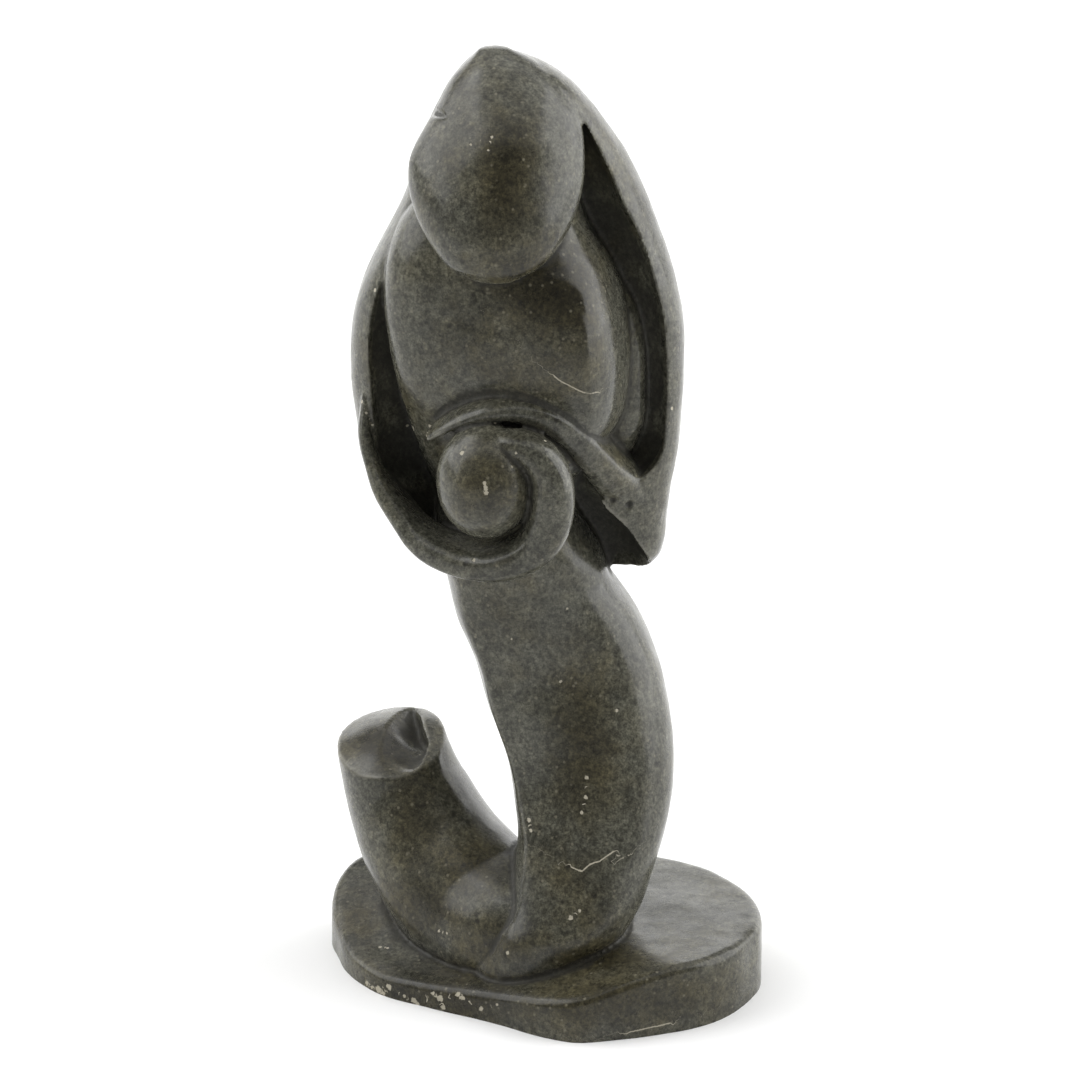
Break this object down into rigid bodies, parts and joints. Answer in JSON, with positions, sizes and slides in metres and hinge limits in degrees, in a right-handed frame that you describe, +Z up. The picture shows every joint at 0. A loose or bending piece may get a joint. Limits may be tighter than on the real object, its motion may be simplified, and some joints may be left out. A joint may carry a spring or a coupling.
{
  "type": "abstract stone sculpture",
  "caption": "Carved dark stone table sculpture: a hooded blank head and folded arms over a ball, on a twisting column with a side stub, one stone with its low oval plinth.",
  "frame": {"origin": "on the flat underside of the plinth, near its middle, in the plane that the sculpture stands on", "axes": "+Z up; -Y towards the viewer of the front; +X to that viewer's right, away from the stub"},
  "size_m": [0.1325, 0.1081, 0.2938],
  "materials": {
    "stone": "dark grey-green serpentine stone, hand-carved and polished to a soft sheen, mottled with brown, with small pale chips and scratches"
  },
  "bodies": {
    "root": {"sculpture": "stone"}
  },
  "joints": []
}
